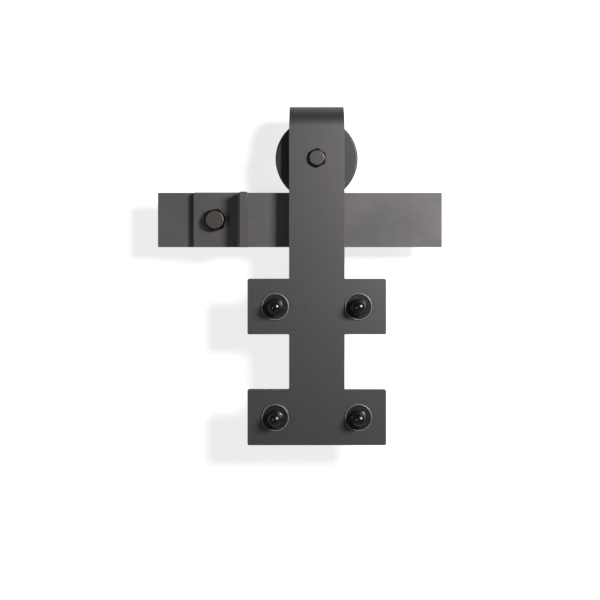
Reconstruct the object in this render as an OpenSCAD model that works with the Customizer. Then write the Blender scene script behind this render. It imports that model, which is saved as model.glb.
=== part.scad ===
// Flat-track sliding door roller: a bent steel hanger strap with a grooved wheel that
// rolls on a flat rail, with the rail's end stop and the wall and door fasteners.
// Millimetres. The origin is on the wall plane, midway between the two wall screws.
// +X runs along the rail, +Y points into the wall and +Z is up.

/* [Rail] */
// Length of the rail section
rail_length = 265; // [240:1:600]
// Height of the flat rail
rail_height = 50.8; // [46:0.1:56]
// Thickness of the flat rail
rail_thickness = 6.35; // [5:0.05:7]
// Distance between the two wall screws
screw_pitch = 94; // [90:1:110]
// Distance from the rail's left end to the first wall screw
rail_end = 54; // [35:1:70]
// Length of the tubes that hold the rail off the wall
standoff_length = 31.75; // [30:0.25:40]
// Outer diameter of those tubes
standoff_dia = 25.4; // [22:0.1:30]

/* [End stop] */
// Width of the stop's plate, from its free edge to the flange's far face
stop_width = 50; // [46:0.5:56]
// Distance from the screw to the plate's free edge
stop_edge = 20; // [16:0.5:22]
// Thickness of the stop's plate
stop_thickness = 6.35; // [5:0.05:8]
// How far the stop's flange stands out from its plate
flange_reach = 18.45; // [14:0.05:22]
// Inner radius of the stop's bend
stop_bend = 3.2; // [2:0.1:5]

/* [Hanger strap] */
// Width of the strap
strap_width = 50.8; // [46:0.1:56]
// Thickness of the strap
strap_thickness = 6.35; // [5:0.05:8]
// Clear gap between the strap's two legs
strap_gap = 32; // [30:0.5:36]
// Height of the strap's top above the axle
strap_rise = 49; // [47:0.5:56]
// Distance from the axle to the strap's lower end
strap_drop = 263.2; // [240:0.1:300]
// Length of the two cross plates, along the rail
cross_length = 127; // [115:0.5:150]
// Height of each cross plate
cross_height = 50.8; // [40:0.1:60]
// Vertical distance between the cross plates' centres
cross_pitch = 101.6; // [90:0.1:115]

/* [Wheel] */
// Outer diameter of the wheel
wheel_dia = 76.2; // [74:0.1:77]
// Width of the wheel
wheel_width = 22; // [20:0.5:23]
// Diameter at the bottom of the wheel's groove
groove_dia = 62; // [56:0.5:64]
// Width of the groove at its bottom
groove_width = 8; // [7.6:0.1:9]
// Height of the gap left between the groove and the rail
rolling_gap = 0.1; // [0.05:0.05:0.3]

/* [Bearing] */
// Bore of the ball bearing
bearing_bore = 10; // [10:0.5:11]
// Outer diameter of the ball bearing
bearing_dia = 30; // [29.5:0.1:31]
// Width of the ball bearing
bearing_width = 9; // [9:0.1:10]
// Diameter of each ball
ball_dia = 4.762; // [4.6:0.001:4.8]
// Number of balls
ball_count = 8; // [6:1:9]

/* [Fasteners] */
// Width across flats of the axle bolt and its nut
axle_flats = 16; // [15:0.5:17]
// Diameter of the wall screws' threads
lag_dia = 12.7; // [10:0.1:13]
// Width across flats of the wall screws
lag_flats = 19.05; // [17:0.05:20]
// Length of the wall screws under the head
lag_length = 88.9; // [80:0.1:110]
// Diameter of the door bolts' shanks
door_bolt_dia = 9.525; // [8:0.005:10]
// Distance between the door bolts along the rail
door_bolt_pitch = 76.2; // [74:0.1:90]
// Thickness of the door that the bolts clamp
door_thickness = 35; // [30:0.5:40]
// Outer diameter of the flat washers
washer_dia = 25.4; // [20:0.1:28]
// Width across flats of the cap nuts
cap_flats = 14.3; // [13:0.1:16]

/* [Hidden] */
$fn = 96;
rail_mid_y = -standoff_length - rail_thickness / 2;
rail_front_y = -standoff_length - rail_thickness;
left_screw_x = -screw_pitch / 2;
right_screw_x = screw_pitch / 2;

axle_x = right_screw_x;
axle_z = rail_height / 2 + groove_dia / 2 + rolling_gap;
axle_r = bearing_bore / 2 - 0.05;
leg_inside = strap_gap / 2;
leg_outside = leg_inside + strap_thickness;
bend_z = axle_z + strap_rise - leg_outside;
strap_bottom = axle_z - strap_drop;
strap_back_y = rail_mid_y - leg_inside;
strap_front_y = rail_mid_y - leg_outside;
lower_cross_z = strap_bottom + cross_height / 2;
upper_cross_z = lower_cross_z + cross_pitch;
door_back_y = strap_back_y + door_thickness;

hole_slack = 0.4;
washer_thickness = 1.6;
axle_washer_thickness = 2;
axle_head = 4;
axle_nut_hex = 5;
axle_nut_collar = 2;
axle_thread_r = axle_r - 0.15;
bush_r = 8;
lag_head = 8.5;
lag_shank_r = lag_dia / 2 - 0.35;
lag_tip = 10;
door_shank_r = door_bolt_dia / 2;
door_thread_r = door_shank_r - 0.16;
door_hole_r = door_shank_r + hole_slack;
door_head_r = 9;
door_head = 5;
socket_flats = 5.56;
socket_depth = 2.8;
cap_hex = 8;
cap_dome_r = 6.6;
cap_height = 16;
cap_bore = 12;

wheel_r = wheel_dia / 2;
groove_r = groove_dia / 2;
groove_flare = 1;
rim_chamfer = 1.5;
bearing_r = bearing_dia / 2;
pitch_r = (bearing_bore + bearing_dia) / 4;
race_gap = 0.1;
inner_land_r = pitch_r - 1.6;
outer_land_r = pitch_r + 1.6;
seal_width = 0.8;
seal_seat_r = outer_land_r + 0.8;
wheel_shoulder_r = bearing_r - 2;
ring_width = 1.2;
ring_groove = 0.8;
cage_half_height = 2.9;
cage_half_width = 0.8;

// Turns a shape drawn along +Z so that it points along +Y, into the wall.
module along_y() {
    rotate([-90, 0, 0]) children();
}

// Puts a shape drawn along +Z on the wheel's axle, with its origin in the wheel's mid-plane.
module on_axle() {
    translate([axle_x, rail_mid_y, axle_z]) along_y() children();
}

// Repeats a shape at the four door bolts, with its origin on the plane at y.
module at_door_bolts(y) {
    for (side = [-1, 1], z = [upper_cross_z, lower_cross_z])
        translate([axle_x + side * door_bolt_pitch / 2, y, z]) along_y() children();
}

module ring(outer_r, inner_r, height) {
    difference() {
        cylinder(r = outer_r, h = height);
        translate([0, 0, -1]) cylinder(r = inner_r, h = height + 2);
    }
}

// A hexagonal prism with its outer corners turned off at the bottom end.
module hex_head(flats, height) {
    corner_r = flats / 2 / cos(30);
    face_r = flats / 2 - 0.4;
    turn = (corner_r - face_r) * 0.6;
    intersection() {
        cylinder(r = corner_r, h = height, $fn = 6);
        rotate_extrude()
            polygon([[0, 0], [face_r, 0], [corner_r + 0.1, turn], [corner_r + 0.1, height],
                     [0, height]]);
    }
}

module rail() {
    color([0.36, 0.35, 0.35])
    difference() {
        translate([left_screw_x - rail_end, rail_front_y, -rail_height / 2])
            cube([rail_length, rail_thickness, rail_height]);
        for (x = [left_screw_x, right_screw_x])
            translate([x, rail_front_y - 1, 0])
                along_y() cylinder(r = lag_dia / 2 + hole_slack, h = rail_thickness + 2);
    }
}

// The stop's plate, bend and flange, seen from above.
module stop_outline() {
    left = left_screw_x - stop_edge;
    right = left + stop_width;
    outer = stop_bend + stop_thickness;
    bend = [right - outer, rail_front_y - outer];
    translate([left, rail_front_y - stop_thickness])
        square([stop_width - outer, stop_thickness]);
    translate([right - stop_thickness, rail_front_y - stop_thickness - flange_reach])
        square([stop_thickness, flange_reach - stop_bend]);
    translate(bend) intersection() {
        difference() {
            circle(r = outer);
            circle(r = stop_bend);
        }
        square(outer + 1);
    }
}

module stop_bracket() {
    color([0.33, 0.32, 0.32])
    difference() {
        translate([0, 0, -rail_height / 2])
            linear_extrude(rail_height) stop_outline();
        translate([left_screw_x, rail_front_y - stop_thickness - 1, 0])
            along_y() cylinder(r = lag_dia / 2 + hole_slack, h = stop_thickness + 2);
    }
}

module standoff(x) {
    color([0.30, 0.29, 0.29])
    translate([x, -standoff_length, 0])
        along_y() ring(standoff_dia / 2, lag_dia / 2 + hole_slack, standoff_length);
}

// One wall screw whose head seats on the plane at y. Its threads start at the wall.
module wall_screw(x, y, turn) {
    translate([x, y, 0]) along_y() {
        translate([0, 0, -lag_head]) rotate(turn) hex_head(lag_flats, lag_head);
        cylinder(r = lag_shank_r, h = -y);
        translate([0, 0, -y]) cylinder(r = lag_dia / 2, h = lag_length + y - lag_tip);
        translate([0, 0, lag_length - lag_tip])
            cylinder(r1 = lag_dia / 2, r2 = 1, h = lag_tip);
    }
}

module wall_screws() {
    color([0.30, 0.28, 0.27]) {
        wall_screw(left_screw_x, rail_front_y - stop_thickness, -19);
        wall_screw(right_screw_x, rail_front_y, 8);
    }
}

// The strap's bent side outline: x here is +Y and y is +Z, both from the wheel's mid-plane.
module strap_outline() {
    translate([-leg_outside, strap_bottom])
        square([strap_thickness, bend_z - strap_bottom]);
    translate([leg_inside, axle_z])
        square([strap_thickness, bend_z - axle_z]);
    translate([0, bend_z]) intersection() {
        difference() {
            circle(r = leg_outside);
            circle(r = leg_inside);
        }
        translate([-leg_outside, 0]) square([2 * leg_outside, leg_outside]);
    }
}

module hanger_strap() {
    color([0.36, 0.355, 0.355])
    difference() {
        union() {
            translate([axle_x - strap_width / 2, rail_mid_y, 0])
                rotate([90, 0, 90]) linear_extrude(strap_width) strap_outline();
            for (z = [upper_cross_z, lower_cross_z])
                translate([axle_x - cross_length / 2, strap_front_y, z - cross_height / 2])
                    cube([cross_length, strap_thickness, cross_height]);
            on_axle() translate([0, 0, leg_inside])
                cylinder(r = strap_width / 2, h = strap_thickness);
        }
        on_axle() translate([0, 0, -leg_outside - 1])
            cylinder(r = axle_r + 0.1, h = 2 * leg_outside + 2);
        at_door_bolts(strap_front_y - 1)
            cylinder(r = door_hole_r, h = strap_thickness + 2);
    }
}

module axle_bolt() {
    shank = leg_outside + axle_washer_thickness;
    thread = axle_nut_hex + axle_nut_collar + 0.8;
    color([0.34, 0.33, 0.33])
    on_axle() {
        translate([0, 0, -leg_outside - axle_head]) hex_head(axle_flats, axle_head);
        translate([0, 0, -leg_outside]) cylinder(r = axle_r, h = leg_outside + shank);
        translate([0, 0, shank]) cylinder(r = axle_thread_r, h = thread);
    }
}

module axle_washer() {
    color([0.32, 0.31, 0.31])
    on_axle() translate([0, 0, leg_outside])
        ring(10, axle_r + 0.1, axle_washer_thickness);
}

// The lock nut, with its hexagon and its rounded collar hollow for the insert.
module axle_nut() {
    color([0.32, 0.31, 0.31])
    on_axle() translate([0, 0, leg_outside + axle_washer_thickness])
        difference() {
            union() {
                cylinder(r = axle_flats / 2 / cos(30), h = axle_nut_hex, $fn = 6);
                cylinder(r = axle_flats / 2 - 0.4, h = axle_nut_hex + axle_nut_collar);
            }
            translate([0, 0, -1]) cylinder(r = axle_thread_r + 0.05, h = axle_nut_hex + 2);
            translate([0, 0, axle_nut_hex])
                cylinder(r = axle_r + 1.6, h = axle_nut_collar + 1);
        }
}

module axle_nut_insert() {
    top = leg_outside + axle_washer_thickness + axle_nut_hex;
    color([0.75, 0.74, 0.70])
    on_axle() translate([0, 0, top])
        ring(axle_r + 1.55, axle_thread_r + 0.05, axle_nut_collar - 0.4);
}

// A bush that fills the space between the bearing's inner race and one strap leg.
module spacer(from) {
    color([0.62, 0.61, 0.60])
    on_axle() translate([0, 0, from])
        ring(bush_r, axle_r + 0.05, leg_inside - bearing_width / 2);
}

// The half section of one race, with the ball track cut by a circle on the pitch radius.
module race(near_r, far_r) {
    rotate_extrude()
        difference() {
            translate([near_r, -bearing_width / 2])
                square([far_r - near_r, bearing_width]);
            translate([pitch_r, 0]) circle(r = ball_dia / 2 + race_gap);
        }
}

module bearing_inner_race() {
    color([0.72, 0.73, 0.74])
    on_axle() race(bearing_bore / 2, inner_land_r);
}

module bearing_outer_race() {
    color([0.72, 0.73, 0.74])
    on_axle() difference() {
        race(outer_land_r, bearing_r - 0.02);
        for (side = [0, 1]) mirror([0, 0, side])
            translate([0, 0, bearing_width / 2 - seal_width - 0.2])
                cylinder(r = seal_seat_r, h = seal_width + 1);
    }
}

module bearing_seal(from) {
    color([0.12, 0.12, 0.12])
    on_axle() translate([0, 0, from])
        ring(seal_seat_r - 0.05, inner_land_r + 0.3, seal_width);
}

module bearing_balls() {
    color([0.78, 0.79, 0.80])
    on_axle() for (i = [0 : ball_count - 1])
        rotate(360 * i / ball_count) translate([pitch_r, 0, 0]) sphere(d = ball_dia);
}

// One half of the ball cage, on the near (front) or the far side of the ball circle.
module cage_half(from) {
    color([0.66, 0.58, 0.40])
    on_axle() difference() {
        translate([0, 0, from])
            ring(pitch_r + cage_half_width, pitch_r - cage_half_width, cage_half_height);
        for (i = [0 : ball_count - 1])
            rotate(360 * i / ball_count) translate([pitch_r, 0, 0])
                sphere(r = ball_dia / 2 + 0.12);
    }
}

// The wheel's half section: x is the radius and y runs along the axle.
module wheel_section() {
    half = wheel_width / 2;
    root = groove_width / 2;
    difference() {
        polygon([[wheel_shoulder_r, -half],
                 [wheel_r - rim_chamfer, -half], [wheel_r, -half + rim_chamfer],
                 [wheel_r, -root - groove_flare], [groove_r, -root],
                 [groove_r, root], [wheel_r, root + groove_flare],
                 [wheel_r, half - rim_chamfer], [wheel_r - rim_chamfer, half],
                 [wheel_shoulder_r, half]]);
        translate([0, -half - 1]) square([bearing_r, half + 1 + bearing_width / 2]);
        translate([0, -bearing_width / 2 - ring_width])
            square([bearing_r + ring_groove, ring_width]);
    }
}

module wheel() {
    color([0.30, 0.29, 0.29])
    on_axle() rotate_extrude() wheel_section();
}

// The internal ring that holds the bearing in the wheel, with its gap and two lugs.
module retaining_ring() {
    from = -bearing_width / 2 - ring_width + 0.05;
    lug_r = 1.9;
    lug_x = 3;
    lug_y = -bearing_r + 1.9;
    color([0.40, 0.41, 0.43])
    on_axle() translate([0, 0, from])
        difference() {
            union() {
                ring(bearing_r + ring_groove - 0.1, bearing_r - 1.6, ring_width - 0.1);
                for (side = [-1, 1])
                    translate([side * lug_x, lug_y, 0]) cylinder(r = lug_r, h = ring_width - 0.1);
            }
            translate([-1, -bearing_r - 2, -1]) cube([2, 6, ring_width + 2]);
            for (side = [-1, 1])
                translate([side * lug_x, lug_y, -1]) cylinder(r = 0.8, h = ring_width + 2);
        }
}

// Through bolts from the back of the door: head, neck in the washer, shank, threads.
module door_bolts() {
    color([0.30, 0.29, 0.29])
    difference() {
        union() {
            at_door_bolts(strap_back_y) cylinder(r = door_shank_r, h = door_thickness);
            at_door_bolts(strap_front_y - washer_thickness - cap_bore + 1)
                cylinder(r = door_thread_r,
                         h = strap_thickness + washer_thickness + cap_bore - 1);
            at_door_bolts(door_back_y) cylinder(r = door_shank_r + 0.2, h = washer_thickness);
            at_door_bolts(door_back_y + washer_thickness)
                cylinder(r1 = door_head_r, r2 = door_head_r * 0.55, h = door_head);
        }
        at_door_bolts(door_back_y + washer_thickness + door_head - socket_depth)
            cylinder(r = socket_flats / 2 / cos(30), h = socket_depth + 1, $fn = 6);
    }
}

module door_washers_front() {
    color([0.10, 0.10, 0.10])
    at_door_bolts(strap_front_y - washer_thickness)
        ring(washer_dia / 2, door_hole_r, washer_thickness);
}

module door_washers_rear() {
    color([0.30, 0.29, 0.29])
    at_door_bolts(door_back_y) ring(washer_dia / 2, door_hole_r, washer_thickness);
}

// Cap nuts: a hexagon on the washer, a domed end, and a blind threaded hole.
module cap_nuts() {
    neck = cap_height - cap_dome_r;
    color([0.06, 0.06, 0.06])
    at_door_bolts(strap_front_y - washer_thickness) rotate(10)
        difference() {
            union() {
                mirror([0, 0, 1])
                    cylinder(r = cap_flats / 2 / cos(30), h = cap_hex, $fn = 6);
                mirror([0, 0, 1]) cylinder(r = cap_dome_r, h = neck);
                translate([0, 0, -neck]) sphere(r = cap_dome_r);
            }
            translate([0, 0, -cap_bore]) cylinder(r = door_thread_r + 0.1, h = cap_bore + 1);
        }
}

rail();
stop_bracket();
standoff(left_screw_x);  // standoff_left
standoff(right_screw_x);  // standoff_right
wall_screws();
hanger_strap();
axle_bolt();
axle_washer();
axle_nut();
axle_nut_insert();
spacer(-leg_inside);  // spacer_front
spacer(bearing_width / 2);  // spacer_rear
bearing_inner_race();
door_bolts();
door_washers_front();
door_washers_rear();
cap_nuts();
wheel();
bearing_outer_race();
retaining_ring();
bearing_seal(-bearing_width / 2 + 0.1);  // bearing_seal_front
bearing_seal(bearing_width / 2 - seal_width - 0.1);  // bearing_seal_rear
bearing_balls();
cage_half(-cage_half_height);  // ball_cage_front
cage_half(0);  // ball_cage_rear
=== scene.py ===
import math

import bmesh
import bpy
from mathutils import Matrix, Vector


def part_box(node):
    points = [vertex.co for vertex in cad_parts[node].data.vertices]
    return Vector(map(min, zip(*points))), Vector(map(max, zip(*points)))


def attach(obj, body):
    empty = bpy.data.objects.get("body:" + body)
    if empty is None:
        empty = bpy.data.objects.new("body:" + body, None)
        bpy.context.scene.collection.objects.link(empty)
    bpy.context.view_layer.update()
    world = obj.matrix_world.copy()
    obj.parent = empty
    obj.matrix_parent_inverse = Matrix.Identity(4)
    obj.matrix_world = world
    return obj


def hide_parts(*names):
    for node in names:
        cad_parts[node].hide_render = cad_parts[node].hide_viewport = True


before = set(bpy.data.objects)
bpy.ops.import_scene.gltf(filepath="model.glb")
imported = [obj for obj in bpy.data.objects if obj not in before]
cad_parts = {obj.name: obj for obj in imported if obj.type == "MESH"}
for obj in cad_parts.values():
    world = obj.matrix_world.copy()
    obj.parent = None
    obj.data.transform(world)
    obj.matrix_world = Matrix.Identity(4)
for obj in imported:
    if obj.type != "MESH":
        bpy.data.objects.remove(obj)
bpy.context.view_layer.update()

# The looks of a flat-track sliding door roller: hanger strap, grooved wheel, rail section,
# end stop and fasteners. Metres throughout. +X runs along the rail, +Y points into the wall.

MM = 0.001
FULL_TURN = 2 * math.pi
SIDE_CUTS = 7            # cuts along each side of a hexagon, so that it can run into a circle

# ---------------------------------------------------------------- places, from the frame

strap_lo, strap_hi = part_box("hanger_strap")
wheel_lo, wheel_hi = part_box("wheel")
rail_lo, rail_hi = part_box("rail")
stop_lo, stop_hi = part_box("stop_bracket")
front_washers_lo, front_washers_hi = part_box("door_washers_front")
rear_washers_lo, rear_washers_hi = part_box("door_washers_rear")
nuts_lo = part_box("cap_nuts")[0]
bolts_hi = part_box("door_bolts")[1]
left_tube_lo, left_tube_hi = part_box("standoff_left")
right_tube_lo, right_tube_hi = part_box("standoff_right")
screws_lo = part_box("wall_screws")[0]
axle_bolt_lo, axle_bolt_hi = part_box("axle_bolt")
axle_washer_lo, axle_washer_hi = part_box("axle_washer")
axle_nut_lo, axle_nut_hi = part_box("axle_nut")
front_bush_lo, front_bush_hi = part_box("spacer_front")
rear_bush_lo, rear_bush_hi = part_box("spacer_rear")
front_seal_lo, front_seal_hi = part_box("bearing_seal_front")
rear_seal_lo, rear_seal_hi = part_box("bearing_seal_rear")

AXLE = (wheel_lo + wheel_hi) / 2
WALL = left_tube_hi.y

STRAP_WIDTH = 50.8 * MM
STRAP_THICKNESS = 6.35 * MM
RAIL_HOLE = 6.75 * MM
AXLE_HOLE = 5.05 * MM
DOOR_HOLE = 5.16 * MM
NECK_RADIUS = 4.95 * MM      # the axle bolt's shank, and the door bolts' necks
DOOR_SHANK_RADIUS = 4.7625 * MM
AXLE_FLATS = 16 * MM

WASHER_RADIUS = 12.7 * MM
WASHER_DISH = 0.6        # the part of a front washer's thickness that lies inside its raised rim
bolt_columns = (front_washers_lo.x + WASHER_RADIUS, front_washers_hi.x - WASHER_RADIUS)
bolt_rows = (front_washers_hi.z - WASHER_RADIUS, front_washers_lo.z + WASHER_RADIUS)
bolt_places = [(x, z) for z in bolt_rows for x in bolt_columns]

strap_front = strap_lo.y
strap_back = strap_front + STRAP_THICKNESS
bend_outer = AXLE.y - strap_front
bend_inner = bend_outer - STRAP_THICKNESS
bend_z = strap_hi.z - bend_outer
left_screw = (left_tube_lo + left_tube_hi) / 2
right_screw = (right_tube_lo + right_tube_hi) / 2

# ---------------------------------------------------------------- shaping


def rounded(corners, steps=6):
    """The outline through (u, v, radius) corners, with an arc at each corner that has a radius."""
    points = []
    for index, (u, v, radius) in enumerate(corners):
        corner = Vector((u, v))
        if radius == 0:
            points.append(corner)
            continue
        back = (Vector(corners[index - 1][:2]) - corner).normalized()
        ahead = (Vector(corners[(index + 1) % len(corners)][:2]) - corner).normalized()
        half = back.angle(ahead) / 2
        start = corner + back * (radius / math.tan(half))
        end = corner + ahead * (radius / math.tan(half))
        centre = corner + (back + ahead).normalized() * (radius / math.sin(half))
        for step in range(steps + 1):
            spoke = (start - centre).lerp(end - centre, step / steps)
            points.append(centre + spoke.normalized() * radius)
    return points


def flat_plate(bm, corners, holes, front, thickness):
    """A plate whose face looks along -Y at front, with (x, z, radius) corners and holes."""
    rim = [bm.verts.new((u, front, v)) for u, v in rounded(corners)]
    edges = [bm.edges.new((rim[i - 1], rim[i])) for i in range(len(rim))]
    for x, z, radius in holes:
        place = Matrix.Translation((x, front, z)) @ Matrix.Rotation(math.pi / 2, 4, "X")
        circle = bmesh.ops.create_circle(bm, segments=48, radius=radius, matrix=place)
        edges += {edge for vert in circle["verts"] for edge in vert.link_edges}
    filled = bmesh.ops.triangle_fill(bm, use_beauty=True, edges=edges)
    faces = [f for f in filled["geom"] if isinstance(f, bmesh.types.BMFace)]
    pushed = bmesh.ops.extrude_face_region(bm, geom=faces, use_keep_orig=True)
    moved = [v for v in pushed["geom"] if isinstance(v, bmesh.types.BMVert)]
    bmesh.ops.translate(bm, verts=moved, vec=(0, thickness, 0))


def open_end(bm, axis, value):
    """Removes the flat end face that lies at value along axis, and returns its edges."""
    ends = [f for f in bm.faces if all(abs(v.co[axis] - value) < 1e-6 for v in f.verts)]
    rim = {e for f in ends for e in f.edges if sum(g in ends for g in e.link_faces) == 1}
    bmesh.ops.delete(bm, geom=ends, context="FACES_ONLY")
    return list(rim)


def soften(bm, width):
    """Rounds every edge that is sharper than 40 degrees."""
    bmesh.ops.recalc_face_normals(bm, faces=bm.faces)
    sharp = [e for e in bm.edges
             if e.is_manifold and e.calc_face_angle() > math.radians(40)]
    bmesh.ops.bevel(bm, geom=sharp, offset=width, offset_type="OFFSET", segments=3,
                    profile=0.5, affect="EDGES", clamp_overlap=True, material=-1)


def lathe(bm, section, centre, segments=96):
    """Turns a section of (radius, y) points about the line through centre along +Y."""
    closed = section[0][0] > 0 or section[-1][0] > 0
    verts = [bm.verts.new(centre + Vector((radius, y, 0))) for radius, y in section]
    edges = [bm.edges.new(pair) for pair in zip(verts, verts[1:])]
    if closed:
        edges.append(bm.edges.new((verts[-1], verts[0])))
    bmesh.ops.spin(bm, geom=verts + edges, cent=centre, axis=(0, 1, 0), dvec=(0, 0, 0),
                   angle=FULL_TURN, steps=segments, use_merge=True)
    bmesh.ops.remove_doubles(bm, verts=bm.verts, dist=1e-7)


def next_ring(bm, edges, place):
    """Extrudes a ring of edges and puts each new point where place says."""
    made = bmesh.ops.extrude_edge_only(bm, edges=edges)["geom"]
    verts = {v for v in made if isinstance(v, bmesh.types.BMVert)}
    for vert in verts:
        vert.co = place(vert.co)
    return [e for e in made
            if isinstance(e, bmesh.types.BMEdge) and e.verts[0] in verts and e.verts[1] in verts]


def hex_body(bm, seat, height, flats, turn, section, facing=-1, bore=0, slope=0.6):
    """A hexagon on a seat point, facing -Y or +Y, whose far end follows section.

    The first section radius is where the turned-off corners start, and slope is how steep they
    are. The other (radius, height) points are rings, and the last ring is closed with a face, or
    with a bore if there is one."""
    corner = flats / 2 / math.cos(math.pi / 6)
    blunt = corner * 0.975
    turned_radius, turned_level = section[0]
    place = (Matrix.Translation(seat) @ Matrix.Rotation(turn, 4, "Y")
             @ Matrix.Rotation(math.pi / 2, 4, "X"))
    circle = bmesh.ops.create_circle(bm, segments=6, radius=corner, matrix=place)
    sides = {edge for vert in circle["verts"] for edge in vert.link_edges}
    cut = bmesh.ops.subdivide_edges(bm, edges=list(sides), cuts=SIDE_CUTS)
    ring = [e for e in cut["geom"] if isinstance(e, bmesh.types.BMEdge)]
    for vert in {v for e in ring for v in e.verts}:
        spoke = vert.co - seat
        if spoke.length > blunt:
            vert.co = seat + spoke.normalized() * blunt

    def spoke_of(point):
        return Vector((point.x - seat.x, 0, point.z - seat.z))

    def chamfered(point):
        spoke = spoke_of(point)
        drop = (spoke.length - turned_radius) * slope
        return seat + spoke + Vector((0, facing * (turned_level - max(drop, 0)), 0))

    def at(radius, level):
        rise = Vector((0, facing * level, 0))
        return lambda point: seat + spoke_of(point).normalized() * radius + rise

    base = ring
    ring = next_ring(bm, ring, lambda point: point + Vector((0, facing * height * 0.1, 0)))
    ring = next_ring(bm, ring, chamfered)
    for radius, level in section:
        ring = next_ring(bm, ring, at(radius, level))
    if bore:
        ring = next_ring(bm, ring, at(bore, section[-1][1]))
        inner = next_ring(bm, base, at(bore, 0))
        bmesh.ops.bridge_loops(bm, edges=ring + inner)
    else:
        bmesh.ops.edgeloop_fill(bm, edges=ring)
        bmesh.ops.edgeloop_fill(bm, edges=base)


def add_part(bm, part):
    """Adds the geometry of part to bm, and frees part."""
    mesh = bpy.data.meshes.new("part")
    part.to_mesh(mesh)
    part.free()
    bm.from_mesh(mesh)
    bpy.data.meshes.remove(mesh)


def thread_ridge(bm, start, length, root, crest, pitch, steps=32, tip=0):
    """A closed helical ridge that climbs along +Y, and shrinks over its last tip metres."""
    half = pitch * 0.42
    flat = pitch * 0.06
    section = [(root * 0.97, -half), (crest, -flat), (crest, flat), (root * 0.97, half)]
    verts = [bm.verts.new(start + Vector((r, y + half, 0))) for r, y in section]
    face = bm.faces.new(verts)
    turns = (length - 2 * half) / pitch
    count = max(1, round(turns * steps))
    bmesh.ops.spin(bm, geom=[face], cent=start, axis=(0, 1, 0), dvec=(0, pitch / steps, 0),
                   angle=FULL_TURN * count / steps, steps=count, use_merge=False)
    for vert in bm.verts:
        over = vert.co.y - (start.y + length - tip)
        if tip and over > 0:
            spoke = Vector((vert.co.x - start.x, 0, vert.co.z - start.z))
            if spoke.length > 0.3 * MM:
                vert.co -= spoke * min(0.85, 0.85 * over / tip)


# ---------------------------------------------------------------- pieces


def paint_side_shade(made, material, front, back):
    """Paints shade on the faces of made between two depths that turn away from the front, by giving
    them a second, near-black material.
    """
    made.data.materials.append(material)
    for face in made.data.polygons:
        if front < face.center.y < back and face.normal.y > -0.8:
            face.material_index = 1


def piece(name, bm, body, material, slot, *nodes, sharp=35):
    """Makes bm an object that rides on body and stands for the CAD nodes."""
    bmesh.ops.recalc_face_normals(bm, faces=bm.faces)
    for face in bm.faces:
        face.smooth = True
    mesh = bpy.data.meshes.new(name)
    bm.to_mesh(mesh)
    bm.free()
    mesh.set_sharp_from_angle(angle=math.radians(sharp))
    mesh.materials.append(material)
    made = bpy.data.objects.new(name, mesh)
    bpy.context.scene.collection.objects.link(made)
    weighted = made.modifiers.new("even_shading", "WEIGHTED_NORMAL")
    weighted.keep_sharp = True
    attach(made, body)
    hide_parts(*nodes)
    return made


# ---------------------------------------------------------------- shared surface effects


def new_group(name, inputs, outputs):
    """An empty node group with float inputs given as {name: value}, and float outputs."""
    group = bpy.data.node_groups.new(name, "ShaderNodeTree")
    for label, value in inputs.items():
        socket = group.interface.new_socket(label, in_out="INPUT", socket_type="NodeSocketFloat")
        socket.default_value = value
    for label in outputs:
        group.interface.new_socket(label, in_out="OUTPUT", socket_type="NodeSocketFloat")
    return group, group.nodes.new("NodeGroupInput"), group.nodes.new("NodeGroupOutput")


def noise_node(tree, scale, detail, roughness=0.5):
    noise = tree.nodes.new("ShaderNodeTexNoise")
    noise.inputs["Scale"].default_value = scale
    noise.inputs["Detail"].default_value = detail
    noise.inputs["Roughness"].default_value = roughness
    return noise


def math_node(tree, operation, first, second=None):
    """A Math node whose inputs are sockets or plain numbers."""
    node = tree.nodes.new("ShaderNodeMath")
    node.operation = operation
    for socket, value in zip(node.inputs, (first, second)):
        if isinstance(value, bpy.types.NodeSocket):
            tree.links.new(value, socket)
        elif value is not None:
            socket.default_value = value
    return node.outputs[0]


def powder_group():
    """The skin of a powder coat: Height is its fine orange peel, Mottle its slow drift in tone."""
    group, given, result = new_group(
        "powder_skin", {"Grain Size": 0.9, "Drift Size": 60.0}, ("Height", "Mottle"))
    place = group.nodes.new("ShaderNodeTexCoord")
    grain_scale = math_node(group, "DIVIDE", 1000.0, given.outputs["Grain Size"])
    drift_scale = math_node(group, "DIVIDE", 1000.0, given.outputs["Drift Size"])
    grain = noise_node(group, 1000, 3, 0.6)
    speck = noise_node(group, 2200, 1)
    drift = noise_node(group, 16, 4, 0.6)
    for noise in (grain, speck, drift):
        group.links.new(place.outputs["Object"], noise.inputs["Vector"])
    group.links.new(grain_scale, grain.inputs["Scale"])
    group.links.new(drift_scale, drift.inputs["Scale"])
    mixed = math_node(group, "ADD", grain.outputs["Fac"],
                      math_node(group, "MULTIPLY", speck.outputs["Fac"], 0.35))
    group.links.new(mixed, result.inputs["Height"])
    group.links.new(math_node(group, "ADD", drift.outputs["Fac"],
                              math_node(group, "MULTIPLY", grain.outputs["Fac"], 0.3)),
                    result.inputs["Mottle"])
    return group


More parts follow.
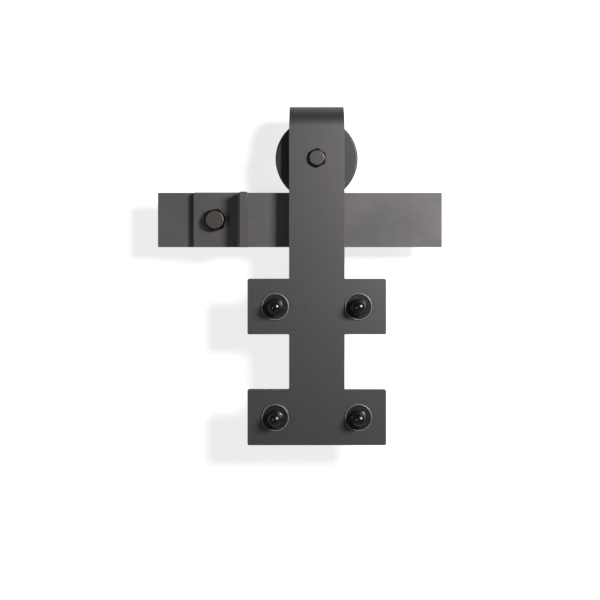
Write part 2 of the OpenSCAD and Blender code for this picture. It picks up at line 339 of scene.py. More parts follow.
def turned_group():
    """Fine lathe marks round the wheel's axle: Height runs in rings about Centre X and Centre Z."""
    group, given, result = new_group(
        "turned_rings", {"Centre X": 0.0, "Centre Z": 0.0, "Ring Pitch": 0.25}, ("Height",))
    place = group.nodes.new("ShaderNodeTexCoord")
    parts = group.nodes.new("ShaderNodeSeparateXYZ")
    group.links.new(place.outputs["Object"], parts.inputs[0])
    across = math_node(group, "SUBTRACT", parts.outputs["X"], given.outputs["Centre X"])
    up = math_node(group, "SUBTRACT", parts.outputs["Z"], given.outputs["Centre Z"])
    radius = math_node(group, "SQRT", math_node(
        group, "ADD", math_node(group, "MULTIPLY", across, across),
        math_node(group, "MULTIPLY", up, up)))
    ring = group.nodes.new("ShaderNodeCombineXYZ")
    group.links.new(radius, ring.inputs["X"])
    group.links.new(parts.outputs["Y"], ring.inputs["Y"])
    rings = noise_node(group, 4000, 1)
    group.links.new(math_node(group, "DIVIDE", 1000.0, given.outputs["Ring Pitch"]),
                    rings.inputs["Scale"])
    group.links.new(ring.outputs[0], rings.inputs["Vector"])
    group.links.new(rings.outputs["Fac"], result.inputs["Height"])
    return group


def scuff_group():
    """Handling marks: Scuff is 0 on clean metal and 1 in a sparse, faint rub."""
    group, given, result = new_group(
        "handling_scuffs", {"Scuff Size": 14.0, "Spread": 0.62}, ("Scuff",))
    place = group.nodes.new("ShaderNodeTexCoord")
    patch = noise_node(group, 70, 5, 0.65)
    group.links.new(place.outputs["Object"], patch.inputs["Vector"])
    group.links.new(math_node(group, "DIVIDE", 1000.0, given.outputs["Scuff Size"]),
                    patch.inputs["Scale"])
    over = math_node(group, "SUBTRACT", patch.outputs["Fac"], given.outputs["Spread"])
    marks = math_node(group, "MULTIPLY", math_node(group, "MAXIMUM", over, 0.0), 8.0)
    group.links.new(math_node(group, "MINIMUM", marks, 1.0), result.inputs["Scuff"])
    return group


POWDER = powder_group()
TURNED = turned_group()
SCUFFS = scuff_group()


def placed(tree, group, **values):
    """Puts a shared effect in a material, with its own values."""
    node = tree.nodes.new("ShaderNodeGroup")
    node.node_tree = group
    for label, value in values.items():
        node.inputs[label.replace("_", " ")].default_value = value
    return node


def blank_material(name, colour, metallic, roughness):
    material = bpy.data.materials.new(name)
    material.use_nodes = True
    tree = material.node_tree
    surface = tree.nodes["Principled BSDF"]
    surface.inputs["Base Color"].default_value = (*colour, 1)
    surface.inputs["Metallic"].default_value = metallic
    surface.inputs["Roughness"].default_value = roughness
    return material, tree, surface


def ramp(tree, source, low, high, from_low=0.3, from_high=0.7):
    """Maps a mask to a range of values."""
    node = tree.nodes.new("ShaderNodeMapRange")
    node.inputs["From Min"].default_value = from_low
    node.inputs["From Max"].default_value = from_high
    node.inputs["To Min"].default_value = low
    node.inputs["To Max"].default_value = high
    tree.links.new(source, node.inputs["Value"])
    return node.outputs["Result"]


def tinted(tree, source, first, second, socket):
    """Mixes two colours by a mask, into socket."""
    mix = tree.nodes.new("ShaderNodeMix")
    mix.data_type = "RGBA"
    tree.links.new(source, mix.inputs["Factor"])
    mix.inputs[6].default_value = (*first, 1)
    mix.inputs[7].default_value = (*second, 1)
    tree.links.new(mix.outputs[2], socket)


def bumped(tree, surface, height, distance):
    bump = tree.nodes.new("ShaderNodeBump")
    bump.inputs["Strength"].default_value = 1.0
    bump.inputs["Distance"].default_value = distance
    tree.links.new(height, bump.inputs["Height"])
    tree.links.new(bump.outputs["Normal"], surface.inputs["Normal"])


def powder_coat(name, colour, roughness, grain=0.9, depth=0.02, metallic=0.85):
    """Satin bronze powder coat with a fine orange peel."""
    material, tree, surface = blank_material(name, colour, metallic, roughness)
    skin = placed(tree, POWDER, Grain_Size=grain)
    scuffs = placed(tree, SCUFFS)
    darker = [c * 0.88 for c in colour]
    lighter = [min(1, c * w) for c, w in zip(colour, (1.13, 1.10, 1.08))]
    tinted(tree, ramp(tree, skin.outputs["Mottle"], 0, 1, 0.45, 0.85), darker, lighter,
           surface.inputs["Base Color"])
    worn = math_node(tree, "MULTIPLY", scuffs.outputs["Scuff"], -0.05)
    drifting = ramp(tree, skin.outputs["Mottle"], roughness + 0.03, roughness - 0.03, 0.45, 0.85)
    tree.links.new(math_node(tree, "ADD", drifting, worn), surface.inputs["Roughness"])
    bumped(tree, surface, skin.outputs["Height"], depth * MM)
    return material


def hardware_black(name, colour, roughness, ior=1.5, metallic=0.0):
    """Black plating or oxide on small hardware, with faint handling marks."""
    material, tree, surface = blank_material(name, colour, metallic, roughness)
    surface.inputs["IOR"].default_value = ior
    skin = placed(tree, POWDER, Grain_Size=1.6, Drift_Size=9.0)
    scuffs = placed(tree, SCUFFS, Scuff_Size=5.0)
    tinted(tree, scuffs.outputs["Scuff"], colour, [c * 1.5 + 0.004 for c in colour],
           surface.inputs["Base Color"])
    tree.links.new(ramp(tree, skin.outputs["Mottle"], roughness - 0.02, roughness + 0.05, 0.45, 0.85),
                   surface.inputs["Roughness"])
    bumped(tree, surface, skin.outputs["Height"], 0.004 * MM)
    return material


def turned_steel(name, colour, roughness, pitch=0.25, depth=0.004):
    """Bare steel with lathe marks about the axle."""
    material, tree, surface = blank_material(name, colour, 1.0, roughness)
    rings = placed(tree, TURNED, Centre_X=AXLE.x, Centre_Z=AXLE.z, Ring_Pitch=pitch)
    scuffs = placed(tree, SCUFFS, Scuff_Size=6.0)
    tinted(tree, scuffs.outputs["Scuff"], colour, [c * 0.7 for c in colour],
           surface.inputs["Base Color"])
    tree.links.new(ramp(tree, rings.outputs["Height"], roughness - 0.06, roughness + 0.08),
                   surface.inputs["Roughness"])
    bumped(tree, surface, rings.outputs["Height"], depth * MM)
    return material


def moulded(name, colour, roughness):
    """Moulded rubber or nylon with a dull, slightly uneven skin."""
    material, tree, surface = blank_material(name, colour, 0.0, roughness)
    skin = placed(tree, POWDER, Grain_Size=0.6, Drift_Size=8.0)
    tinted(tree, ramp(tree, skin.outputs["Mottle"], 0, 1, 0.45, 0.85), [c * 0.85 for c in colour],
           [c * 1.12 for c in colour], surface.inputs["Base Color"])
    bumped(tree, surface, skin.outputs["Height"], 0.01 * MM)
    return material


strap_coat = powder_coat("strap_powder_coat", (0.228, 0.217, 0.220), 0.45, depth=0.026,
                         metallic=0.93)
rail_coat = powder_coat("rail_powder_coat", (0.224, 0.215, 0.219), 0.63, grain=0.8, depth=0.045)
stop_coat = powder_coat("stop_powder_coat", (0.225, 0.211, 0.215), 0.54, depth=0.03)
tube_coat = powder_coat("standoff_powder_coat", (0.17, 0.162, 0.16), 0.5)
wheel_coat = powder_coat("wheel_powder_coat", (0.124, 0.120, 0.121), 0.5, grain=0.7, depth=0.03)
axle_coat = powder_coat("axle_bolt_coat", (0.172, 0.167, 0.169), 0.46, grain=0.6, depth=0.012)
screw_coat = powder_coat("screw_head_coat", (0.186, 0.160, 0.148), 0.48, grain=0.6, depth=0.012)
black_oxide = hardware_black("black_oxide", (0.060, 0.056, 0.053), 0.38, metallic=0.7)
satin_oxide = hardware_black("satin_black_oxide", (0.062, 0.058, 0.055), 0.44, metallic=0.8)
# Painted shade: a near-black colour for the head chamfers and sides that turn away from the front. It
# stands in for the dark ring that light leaves round the head faces.
head_side_painted_shade = hardware_black("head_side_painted_shade", (0.014, 0.0125, 0.0115), 0.42, metallic=0.5)
# Painted highlight: a lighter colour for the washer beads. It stands in for the bright ring that light
# catches round each rim.
rim_painted_highlight = hardware_black("washer_rim_painted_highlight", (0.40, 0.385, 0.37), 0.42, metallic=0.5)
gloss_plating = hardware_black("gloss_black_plating", (0.005, 0.0046, 0.0044), 0.25, ior=1.85)
bush_steel = turned_steel("turned_bush_steel", (0.50, 0.49, 0.48), 0.34)
race_steel = turned_steel("ground_race_steel", (0.62, 0.62, 0.63), 0.22, 0.12, 0.002)
groove_steel = turned_steel("rolled_groove_steel", (0.24, 0.235, 0.23), 0.36, 0.2)
ball_steel = turned_steel("polished_ball_steel", (0.72, 0.72, 0.74), 0.1, 0.5, 0.0005)
cage_steel = turned_steel("pressed_cage_steel", (0.50, 0.50, 0.49), 0.32, 0.3)
blued_steel = turned_steel("blued_ring_steel", (0.14, 0.145, 0.16), 0.3, 0.3)
seal_rubber = moulded("seal_rubber", (0.02, 0.02, 0.021), 0.6)
nylon = moulded("nylon_insert", (0.60, 0.59, 0.54), 0.45)

# ---------------------------------------------------------------- track


def make_rail():
    """The flat bar, with the mill's small radius along its edges and two plain screw holes."""
    bm = bmesh.new()
    corner = 0.7 * MM
    corners = [(rail_lo.x, rail_lo.z, corner), (rail_hi.x, rail_lo.z, corner),
               (rail_hi.x, rail_hi.z, corner), (rail_lo.x, rail_hi.z, corner)]
    holes = [(tube.x, tube.z, RAIL_HOLE) for tube in (left_screw, right_screw)]
    flat_plate(bm, corners, holes, rail_lo.y, rail_hi.y - rail_lo.y)
    soften(bm, corner)
    return piece("flat_rail", bm, "track", rail_coat, "rail_coat", "rail")


def make_stop():
    """The end stop: a plate with a hole, bent towards the viewer into a flange."""
    bm = bmesh.new()
    thickness = rail_lo.y - stop_plate_front()
    inner = 3.2 * MM
    bend_x = stop_hi.x - thickness - inner
    corner = 1.2 * MM
    corners = [(stop_lo.x, stop_lo.z, corner), (bend_x, stop_lo.z, 0),
               (bend_x, stop_hi.z, 0), (stop_lo.x, stop_hi.z, corner)]
    flat_plate(bm, corners, [(left_screw.x, left_screw.z, RAIL_HOLE)],
               rail_lo.y - thickness, thickness)
    rim = open_end(bm, 0, bend_x)
    centre = Vector((bend_x, rail_lo.y - thickness - inner, 0))
    turned = bmesh.ops.spin(bm, geom=rim, cent=centre, axis=(0, 0, 1), dvec=(0, 0, 0),
                            angle=-math.pi / 2, steps=12)
    last = [e for e in turned["geom_last"] if isinstance(e, bmesh.types.BMEdge)]
    end = next_ring(bm, last, lambda point: Vector((point.x, stop_lo.y, point.z)))
    bmesh.ops.edgeloop_fill(bm, edges=end)
    soften(bm, 0.9 * MM)
    return piece("end_stop", bm, "track", stop_coat, "stop_coat", "stop_bracket")


def stop_plate_front():
    """The stop's plate is as thick as the strap, and lies on the rail's front face."""
    return rail_lo.y - STRAP_THICKNESS


def make_standoff(name, node, lo, hi):
    """A tube with chamfered ends between the rail and the wall."""
    bm = bmesh.new()
    radius = (hi.x - lo.x) / 2
    length = hi.y - lo.y
    ease = 0.6 * MM
    section = rounded([(RAIL_HOLE, 0, 0.3 * MM), (radius, 0, ease), (radius, length, ease),
                       (RAIL_HOLE, length, 0.3 * MM)], 3)
    centre = Vector(((lo.x + hi.x) / 2, lo.y, (lo.z + hi.z) / 2))
    lathe(bm, section, centre, 72)
    return piece(name, bm, "track", tube_coat, "standoff_coat", node)


def make_wall_screws():
    """Two hexagon-head screws: a forged head, a plain shank and a coarse thread to a point."""
    bm = bmesh.new()
    flats = 19.05 * MM
    head = 8.5 * MM
    length = 88.9 * MM
    thread_root = 4.7 * MM
    crest = 6.35 * MM
    tip = 10 * MM
    seats = ((left_screw, stop_plate_front(), math.radians(19)),
             (right_screw, rail_lo.y, math.radians(-8)))
    for tube, seat_y, turn in seats:
        seat = Vector((tube.x, seat_y, tube.z))
        hex_body(bm, seat, head, flats, turn,
                 [(8.35 * MM, head - 0.5 * MM), (8.2 * MM, head - 0.22 * MM),
                  (7.95 * MM, head - 0.06 * MM), (7.6 * MM, head)], slope=1.7)
        end = length - tip
        shank = [(0, -1 * MM), (5.9 * MM, -1 * MM), (5.9 * MM, WALL - seat_y + 6 * MM),
                 (thread_root, WALL - seat_y + 8 * MM), (thread_root, end),
                 (0.7 * MM, length - 0.5 * MM), (0, length)]
        lathe(bm, shank, seat, 48)
        ridge = bmesh.new()
        thread_start = seat + Vector((0, WALL - seat_y + 5 * MM, 0))
        thread_ridge(ridge, thread_start, length - (WALL - seat_y) - 5.4 * MM, thread_root,
                     crest, 3.4 * MM, tip=tip)
        add_part(bm, ridge)
    screws = piece("wall_lag_screws", bm, "track", screw_coat, "screw_finish", "wall_screws")
    # Painted shade on the screw heads' chamfers and sides.
    paint_side_shade(screws, head_side_painted_shade, screws_lo.y, rail_lo.y)
    return screws


# ---------------------------------------------------------------- hanger


def make_strap():
    """The strap: a flat front leg with two cross plates, a half-round bend and a short rear leg."""
    bm = bmesh.new()
    left, right = AXLE.x - STRAP_WIDTH / 2, AXLE.x + STRAP_WIDTH / 2
    half_cross = STRAP_WIDTH / 2
    upper, lower = bolt_rows
    ease, inside = 1.6 * MM, 1.0 * MM
    right_side = [(right, bend_z, 0)]
    left_side = [(left, bend_z, 0)]
    for row in (upper, lower):
        top, bottom = row + half_cross, row - half_cross
        foot = row == lower
        right_side += [(right, top, inside), (strap_hi.x, top, ease), (strap_hi.x, bottom, ease)]
        left_side += [(left, top, inside), (strap_lo.x, top, ease), (strap_lo.x, bottom, ease)]
        if not foot:
            right_side.append((right, bottom, inside))
            left_side.append((left, bottom, inside))
    holes = [(x, z, DOOR_HOLE) for x, z in bolt_places] + [(AXLE.x, AXLE.z, AXLE_HOLE)]
    flat_plate(bm, right_side + left_side[::-1], holes, strap_front, STRAP_THICKNESS)
    front_rim = open_end(bm, 2, bend_z)
    bmesh.ops.spin(bm, geom=front_rim, cent=(AXLE.x, AXLE.y, bend_z), axis=(1, 0, 0),
                   dvec=(0, 0, 0), angle=-math.pi, steps=40)
    rear = bmesh.new()
    low_end = AXLE.z - STRAP_WIDTH / 2
    corner = STRAP_WIDTH / 2 - 0.05 * MM
    flat_plate(rear, [(left, bend_z, 0), (right, bend_z, 0), (right, low_end, corner),
                      (left, low_end, corner)],
               [(AXLE.x, AXLE.z, AXLE_HOLE)], AXLE.y + bend_inner, STRAP_THICKNESS)
    open_end(rear, 2, bend_z)
    add_part(bm, rear)
    bmesh.ops.remove_doubles(bm, verts=bm.verts, dist=2e-6)
    soften(bm, 1.1 * MM)
    flare = 0.5 * MM
    for vert in bm.verts:
        if vert.co.z > bend_z:
            lift = (vert.co.z - bend_z) / bend_outer
            aside = (vert.co.x - AXLE.x) / (STRAP_WIDTH / 2)
            vert.co.z += flare * lift * (aside * aside - 0.5)
            vert.co.x -= 0.35 * MM * lift * aside
    return piece("bent_strap", bm, "hanger", strap_coat, "strap_coat", "hanger_strap")


def make_axle_bolt():
    """The axle: a low hexagon head with a deep turned chamfer, a shank and a threaded end."""
    bm = bmesh.new()
    head = strap_front - axle_bolt_lo.y
    seat = Vector((AXLE.x, strap_front, AXLE.z))
    hex_body(bm, seat, head, AXLE_FLATS, math.radians(3),
             [(7.05 * MM, head - 0.55 * MM), (6.9 * MM, head - 0.24 * MM),
              (6.62 * MM, head - 0.06 * MM), (6.3 * MM, head)], slope=1.5)
    length = axle_bolt_hi.y - strap_front
    thread_root = 4.35 * MM
    shank = [(0, -1 * MM), (NECK_RADIUS, -1 * MM), (NECK_RADIUS, length - 10 * MM),
             (thread_root, length - 9.5 * MM), (thread_root, length - 0.6 * MM),
             (3.8 * MM, length), (0, length)]
    lathe(bm, shank, seat, 48)
    start = seat + Vector((0, length - 9.2 * MM, 0))
    ridge = bmesh.new()
    thread_ridge(ridge, start, 9 * MM, thread_root, 4.8 * MM, 1.5 * MM)
    add_part(bm, ridge)
    bolt = piece("axle_hex_bolt", bm, "hanger", axle_coat, "axle_bolt_coat", "axle_bolt")
    # Painted shade on the axle head's chamfer and sides.
    paint_side_shade(bolt, head_side_painted_shade, axle_bolt_lo.y, strap_front)
    return bolt


def washer_section(inner, outer, thickness, ease):
    return rounded([(inner, 0, ease / 2), (outer, 0, ease), (outer, thickness, ease),
                    (inner, thickness, ease / 2)], 4)


def make_axle_washer():
    bm = bmesh.new()
    radius = (axle_washer_hi.x - axle_washer_lo.x) / 2
    thickness = axle_washer_hi.y - axle_washer_lo.y
    lathe(bm, washer_section(AXLE_HOLE, radius, thickness, 0.35 * MM),
          Vector((AXLE.x, axle_washer_lo.y, AXLE.z)), 72)
    return piece("axle_flat_washer", bm, "hanger", black_oxide, "dark_hardware", "axle_washer")


def make_axle_nut():
    """The lock nut, with the rounded collar that holds its nylon ring."""
    bm = bmesh.new()
    height = axle_nut_hi.y - axle_nut_lo.y
    hexagon = height - 2 * MM
    seat = Vector((AXLE.x, axle_nut_lo.y, AXLE.z))
    hex_body(bm, seat, hexagon, AXLE_FLATS, 0,
             [(7.75 * MM, hexagon), (7.6 * MM, hexagon + 0.1 * MM), (7.6 * MM, height - 1 * MM),
              (7.2 * MM, height - 0.3 * MM), (6.5 * MM, height)],
             facing=1, bore=4.9 * MM)
    return piece("lock_nut", bm, "hanger", black_oxide, "dark_hardware", "axle_nut")


def make_nut_insert():
    """The nylon ring, just proud of the lock nut's rolled-over collar."""
    bm = bmesh.new()
    centre = Vector((AXLE.x, axle_nut_hi.y - 0.4 * MM, AXLE.z))
    lathe(bm, rounded([(4.85 * MM, 0, 0), (6.3 * MM, 0, 0), (6.1 * MM, 0.7 * MM, 0.25 * MM),
                       (4.85 * MM, 0.7 * MM, 0.25 * MM)], 3), centre, 48)
    return piece("lock_nut_ring", bm, "hanger", nylon, "nylon_insert", "axle_nut_insert")


def make_bush(name, node, lo, hi):
    """A spacer bush with eased ends and a shallow turned relief in the middle."""
    bm = bmesh.new()
    radius = (hi.x - lo.x) / 2
    length = hi.y - lo.y
    ease = 0.4 * MM
    dip = 0.35 * MM
    section = rounded([(AXLE_HOLE, 0, 0), (radius, 0, ease), (radius, 3 * MM, 0.2 * MM),
                       (radius - dip, 3.4 * MM, 0.2 * MM), (radius - dip, length - 3.4 * MM, 0.2 * MM),
                       (radius, length - 3 * MM, 0.2 * MM), (radius, length, ease),
                       (AXLE_HOLE, length, 0)], 3)
    lathe(bm, section, Vector((AXLE.x, lo.y, AXLE.z)), 64)
    return piece(name, bm, "hanger", bush_steel, "spacer_steel", node)


def make_front_washers():
    """Flat washers under the cap nuts, with a rolled bead round the rim that is painted lighter as a
    highlight.
    """
    bm = bmesh.new()
    thickness = front_washers_hi.y - front_washers_lo.y
    bead = 0.62 * MM
    crest = WASHER_RADIUS - bead - 0.1 * MM
    floor = WASHER_DISH * thickness
    rim = [(crest + bead * math.cos(math.pi * step / 10),
            -thickness + bead - bead * math.sin(math.pi * step / 10)) for step in range(11)]
    flat = rounded([(crest - bead, -floor, 0), (DOOR_HOLE, -floor, 0.1 * MM),
                    (DOOR_HOLE, 0, 0.1 * MM), (WASHER_RADIUS, 0, 0.2 * MM),
                    (WASHER_RADIUS, -floor, 0.1 * MM)], 3)
    section = rim + [tuple(point) for point in flat]
    for x, z in bolt_places:
        lathe(bm, section, Vector((x, front_washers_hi.y, z)), 96)
    washers = piece("cap_nut_washers", bm, "hanger", satin_oxide, "gloss_black",
                    "door_washers_front", sharp=50)
    # The bead faces get the lighter colour, a painted highlight.
    washers.data.materials.append(rim_painted_highlight)
    for face in washers.data.polygons:
        if face.center.y < front_washers_hi.y - floor - 0.2 * MM:
            face.material_index = 1
    return washers


def make_rear_washers():
    bm = bmesh.new()
    thickness = rear_washers_hi.y - rear_washers_lo.y
    for x, z in bolt_places:
        lathe(bm, washer_section(DOOR_HOLE, WASHER_RADIUS, thickness, 0.3 * MM),
              Vector((x, rear_washers_lo.y, z)), 80)
    return piece("door_back_washers", bm, "hanger", black_oxide, "dark_hardware", "door_washers_rear")


def make_cap_nuts():
    """Cap nuts: a chamfered hexagon that runs through a short neck into a dome."""
    bm = bmesh.new()
    dome = 6.6 * MM
    hexagon = 8 * MM
    thickness = front_washers_hi.y - front_washers_lo.y
    seat_y = front_washers_hi.y - WASHER_DISH * thickness
    height = seat_y - nuts_lo.y
    neck = height - dome
    rings = [(7.0 * MM, hexagon), (dome + 0.12 * MM, hexagon + 0.15 * MM), (dome, neck)]
    steps = 14
    for step in range(1, steps):
        angle = math.pi / 2 * step / steps
        rings.append((dome * math.cos(angle), neck + dome * math.sin(angle)))
    turns = (-10, 22, 4, 35)
    for (x, z), turn in zip(bolt_places, turns):
        hex_body(bm, Vector((x, seat_y, z)), hexagon, 14.3 * MM, math.radians(turn), rings)
    return piece("domed_cap_nuts", bm, "hanger", gloss_plating, "gloss_black", "cap_nuts")


def make_door_bolts():
    """Through bolts: a button head with a hexagon socket, a plain shank and a rolled thread."""
    bm = bmesh.new()
    seat_y = rear_washers_hi.y
    head = bolts_hi.y - seat_y
    head_radius = 9 * MM
    socket = 5.56 * MM / 2 / math.cos(math.pi / 6)
    shank = strap_back - seat_y
    neck_end = rear_washers_lo.y - seat_y
    thread_root = 4.15 * MM
    for x, z in bolt_places:
        seat = Vector((x, seat_y, z))
        place = (Matrix.Translation(seat + Vector((0, head, 0)))
                 @ Matrix.Rotation(math.pi / 2, 4, "X"))
        circle = bmesh.ops.create_circle(bm, segments=6, radius=socket, matrix=place)
        sides = {edge for vert in circle["verts"] for edge in vert.link_edges}
        cut = bmesh.ops.subdivide_edges(bm, edges=list(sides), cuts=SIDE_CUTS)
        mouth = [e for e in cut["geom"] if isinstance(e, bmesh.types.BMEdge)]
        floor = next_ring(bm, mouth, lambda point: point + Vector((0, -2.8 * MM, 0)))
        bmesh.ops.edgeloop_fill(bm, edges=floor)
        rings = [(5.0 * MM, head), (6.6 * MM, head * 0.84), (7.9 * MM, head * 0.58),
                 (8.7 * MM, head * 0.28), (head_radius, 0.25 * MM), (head_radius - 0.25 * MM, 0),
                 (NECK_RADIUS, 0), (NECK_RADIUS, neck_end), (DOOR_SHANK_RADIUS, neck_end),
                 (DOOR_SHANK_RADIUS, shank + 14 * MM), (thread_root, shank + 13.4 * MM),
                 (thread_root, shank - 16 * MM), (3.4 * MM, shank - 17 * MM)]
        ring = mouth
        for radius, level in rings:
            def place_ring(point, radius=radius, level=level):
                spoke = Vector((point.x - seat.x, 0, point.z - seat.z)).normalized()
                return seat + spoke * radius + Vector((0, level, 0))
            ring = next_ring(bm, ring, place_ring)
        bmesh.ops.edgeloop_fill(bm, edges=ring)
        ridge = bmesh.new()
        thread_ridge(ridge, Vector((x, seat_y + shank - 16 * MM, z)), 29.2 * MM,
                     thread_root, 4.6 * MM, 1.6 * MM, steps=24)
        add_part(bm, ridge)
    return piece("button_head_bolts", bm, "hanger", black_oxide, "dark_hardware", "door_bolts")


# ---------------------------------------------------------------- wheel


def make_wheel():
    """The grooved wheel: plain faces, rounded rims, a groove worn smooth and a stepped bore."""
    bm = bmesh.new()
    half = (wheel_hi.y - wheel_lo.y) / 2
    rim = (wheel_hi.x - wheel_lo.x) / 2
    root = 31 * MM
    root_half = 4 * MM
    flare = 1 * MM
    bore = 15 * MM
    shoulder = 13 * MM
    race_end = 4.5 * MM
    ring_width = 1.2 * MM
    ring_bottom = bore + 0.8 * MM
    section = rounded([
        (bore, -half, 0.4 * MM), (rim, -half, 1.6 * MM),
        (rim, -root_half - flare, 0.6 * MM), (root, -root_half, 0.9 * MM),
        (root, root_half, 0.9 * MM), (rim, root_half + flare, 0.6 * MM),
        (rim, half, 1.6 * MM),
        (shoulder, half, 0.4 * MM), (shoulder, race_end, 0), (bore, race_end, 0),
        (bore, -race_end, 0), (ring_bottom, -race_end, 0),
        (ring_bottom, -race_end - ring_width, 0), (bore, -race_end - ring_width, 0)], 4)
    lathe(bm, section, AXLE, 144)
    wheel = piece("grooved_wheel", bm, "wheel", wheel_coat, "wheel_coat", "wheel", sharp=30)
    wheel.data.materials.append(groove_steel)
    for face in wheel.data.polygons:
        spoke = Vector((face.center.x - AXLE.x, 0, face.center.z - AXLE.z))
        if spoke.length < root + 0.25 * MM and spoke.length > root - 0.25 * MM:
            face.material_index = 1
    return wheel


def make_seal(name, node, lo, hi, outward):
    """A bearing seal: a flat ring with a pressed groove and a thin lip at its bore."""
    bm = bmesh.new()
    outer = (hi.x - lo.x) / 2
    inner = 8.75 * MM
    face, back = (lo.y, hi.y) if outward < 0 else (hi.y, lo.y)
    depth = back - face
    section = rounded([
        (inner, depth * 0.9, 0), (inner, depth * 0.35, 0.1 * MM), (inner + 0.7 * MM, 0, 0.1 * MM),
        (inner + 1.1 * MM, 0, 0.1 * MM), (inner + 1.4 * MM, depth * 0.4, 0.1 * MM),
        (outer - 1.0 * MM, depth * 0.4, 0.1 * MM), (outer - 0.7 * MM, 0, 0.1 * MM),
        (outer, 0, 0.1 * MM), (outer, depth * 0.9, 0)], 2)
    lathe(bm, section, Vector((AXLE.x, face, AXLE.z)), 72)
    return piece(name, bm, "wheel", seal_rubber, "seal_rubber", node)


def dress_frame_nodes():
    """Gives the nodes whose CAD shape is already right their finishes."""
    finishes = {
        "bearing_inner_race": race_steel, "bearing_outer_race": race_steel,
        "retaining_ring": blued_steel, "bearing_balls": ball_steel,
        "ball_cage_front": cage_steel, "ball_cage_rear": cage_steel,
    }
    for node, material in finishes.items():
        frame_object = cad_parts[node]
        frame_object.data.materials.clear()
        frame_object.data.materials.append(material)


make_rail()
make_stop()
make_standoff("left_standoff_tube", "standoff_left", left_tube_lo, left_tube_hi)
make_standoff("right_standoff_tube", "standoff_right", right_tube_lo, right_tube_hi)
make_wall_screws()
make_strap()
make_axle_bolt()
make_axle_washer()
make_axle_nut()
make_nut_insert()
make_bush("front_bush", "spacer_front", front_bush_lo, front_bush_hi)
make_bush("rear_bush", "spacer_rear", rear_bush_lo, rear_bush_hi)
make_front_washers()
make_rear_washers()
make_cap_nuts()
make_door_bolts()
make_wheel()
make_seal("front_bearing_seal", "bearing_seal_front", front_seal_lo, front_seal_hi, -1)
make_seal("rear_bearing_seal", "bearing_seal_rear", rear_seal_lo, rear_seal_hi, 1)
dress_frame_nodes()

# ---------------------------------------------------------------- studio


def stage_plane(name, corners, material):
    bm = bmesh.new()
    bm.faces.new([bm.verts.new(corner) for corner in corners])
    mesh = bpy.data.meshes.new(name)
    bm.to_mesh(mesh)
    bm.free()
    mesh.materials.append(material)
    made = bpy.data.objects.new(name, mesh)
    bpy.context.scene.collection.objects.link(made)
    return made


def stage_paint(name, albedo, glow, dimmed):
    """White paint that glows a little for the camera, is dimmer for the light that it gives
    back to the object, and is clear from behind and to the lights behind it."""
    material = bpy.data.materials.new(name)
    material.use_nodes = True
    tree = material.node_tree
    tree.nodes.clear()
    paint = tree.nodes.new("ShaderNodeBsdfDiffuse")
    paint.inputs["Color"].default_value = (*albedo, 1)
    shine = tree.nodes.new("ShaderNodeEmission")
    shine.inputs["Color"].default_value = (*albedo, 1)
    shine.inputs["Strength"].default_value = glow
    both = tree.nodes.new("ShaderNodeAddShader")
    dim = tree.nodes.new("ShaderNodeBsdfDiffuse")
    dim.inputs["Color"].default_value = (*(c * dimmed for c in albedo), 1)
    path = tree.nodes.new("ShaderNodeLightPath")
    by_viewer = tree.nodes.new("ShaderNodeMixShader")
    clear = tree.nodes.new("ShaderNodeBsdfTransparent")
    side = tree.nodes.new("ShaderNodeNewGeometry")
    choose = tree.nodes.new("ShaderNodeMixShader")
    result = tree.nodes.new("ShaderNodeOutputMaterial")
    tree.links.new(paint.outputs[0], both.inputs[0])
    tree.links.new(shine.outputs[0], both.inputs[1])
    see_through = math_node(tree, "MAXIMUM", side.outputs["Backfacing"],
                            path.outputs["Is Shadow Ray"])
    tree.links.new(see_through, choose.inputs[0])
    tree.links.new(path.outputs["Is Camera Ray"], by_viewer.inputs[0])
    tree.links.new(dim.outputs[0], by_viewer.inputs[1])
    tree.links.new(both.outputs[0], by_viewer.inputs[2])
    tree.links.new(by_viewer.outputs[0], choose.inputs[1])
    tree.links.new(clear.outputs[0], choose.inputs[2])
    tree.links.new(choose.outputs[0], result.inputs[0])
    return material


def make_stage():
    """A white wall behind the rail and a pale floor well below the hanger."""
    reach = 2.2
    floor_z = strap_lo.z - 0.5
    wall_y = WALL + 0.2 * MM
    white = stage_paint("wall_paint", (0.86, 0.86, 0.855), 0.86, 0.7)
    pale = stage_paint("floor_paint", (0.78, 0.78, 0.78), 0.45, 0.25)
    stage_plane("wall", [(-reach, wall_y, floor_z), (reach, wall_y, floor_z),
                         (reach, wall_y, reach), (-reach, wall_y, reach)], white)
    stage_plane("floor", [(-reach, -reach, floor_z), (reach, -reach, floor_z),
                          (reach, reach, floor_z), (-reach, reach, floor_z)], pale)


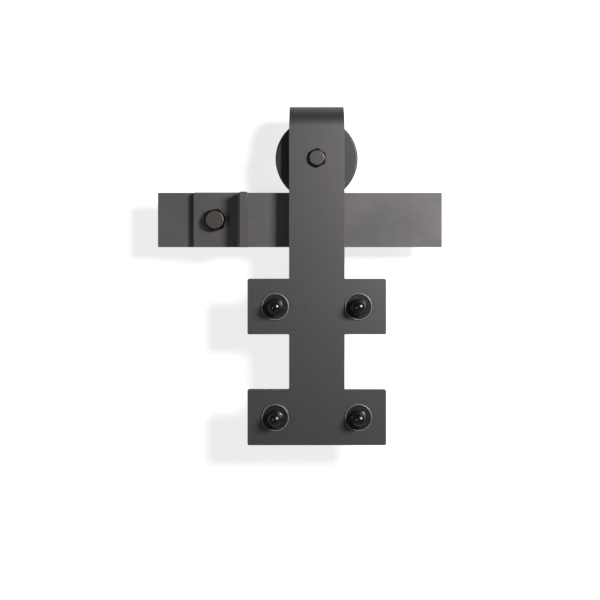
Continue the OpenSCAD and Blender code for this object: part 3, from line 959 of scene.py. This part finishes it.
def area_light(name, place, target, width, height, power):
    data = bpy.data.lights.new(name, "AREA")
    data.shape = "RECTANGLE"
    data.size = width
    data.size_y = height
    data.energy = power
    made = bpy.data.objects.new(name, data)
    bpy.context.scene.collection.objects.link(made)
    made.location = place
    aim = (Vector(target) - Vector(place)).to_track_quat("-Z", "Y")
    made.rotation_euler = aim.to_euler()
    return made


def make_lights():
    """One large soft light up to the right, with a weak fill, a back light and a dim room."""
    key = AXLE + Vector((0.64, -0.85, 0.24))
    area_light("key_softbox", key, AXLE + Vector((0, 0, -0.06)), 0.30, 0.28, 10.3)
    fill = AXLE + Vector((-0.72, -0.92, -0.2))
    area_light("fill_softbox", fill, AXLE, 0.26, 0.22, 0.85)
    area_light("back_light", AXLE + Vector((0.45, 0.95, 0.45)), AXLE, 0.7, 0.7, 9.0)
    world = bpy.data.worlds.new("studio")
    bpy.context.scene.world = world
    world.use_nodes = True
    tree = world.node_tree
    seen = tree.nodes["Background"]
    seen.inputs["Color"].default_value = (0.93, 0.93, 0.93, 1)
    seen.inputs["Strength"].default_value = 1.0
    room = tree.nodes.new("ShaderNodeBackground")
    room.inputs["Color"].default_value = (0.9, 0.93, 1.0, 1)
    room.inputs["Strength"].default_value = 0.035
    path = tree.nodes.new("ShaderNodeLightPath")
    choose = tree.nodes.new("ShaderNodeMixShader")
    tree.links.new(path.outputs["Is Camera Ray"], choose.inputs[0])
    tree.links.new(room.outputs[0], choose.inputs[1])
    tree.links.new(seen.outputs[0], choose.inputs[2])
    tree.links.new(choose.outputs[0], tree.nodes["World Output"].inputs[0])


def make_camera():
    """Square on to the wall, level, a metre from the strap, and a little left of the axle."""
    data = bpy.data.cameras.new("camera")
    data.sensor_width = 36
    data.lens = 65.5
    data.shift_y = -0.1
    data.clip_start = 0.01
    made = bpy.data.objects.new("camera", data)
    bpy.context.scene.collection.objects.link(made)
    made.location = (AXLE.x - 15.4 * MM, strap_front - 1.0, AXLE.z - 75.2 * MM)
    made.rotation_euler = (math.pi / 2, 0, 0)
    bpy.context.scene.camera = made


make_stage()
make_lights()
make_camera()
bpy.context.scene.view_settings.view_transform = "Standard"
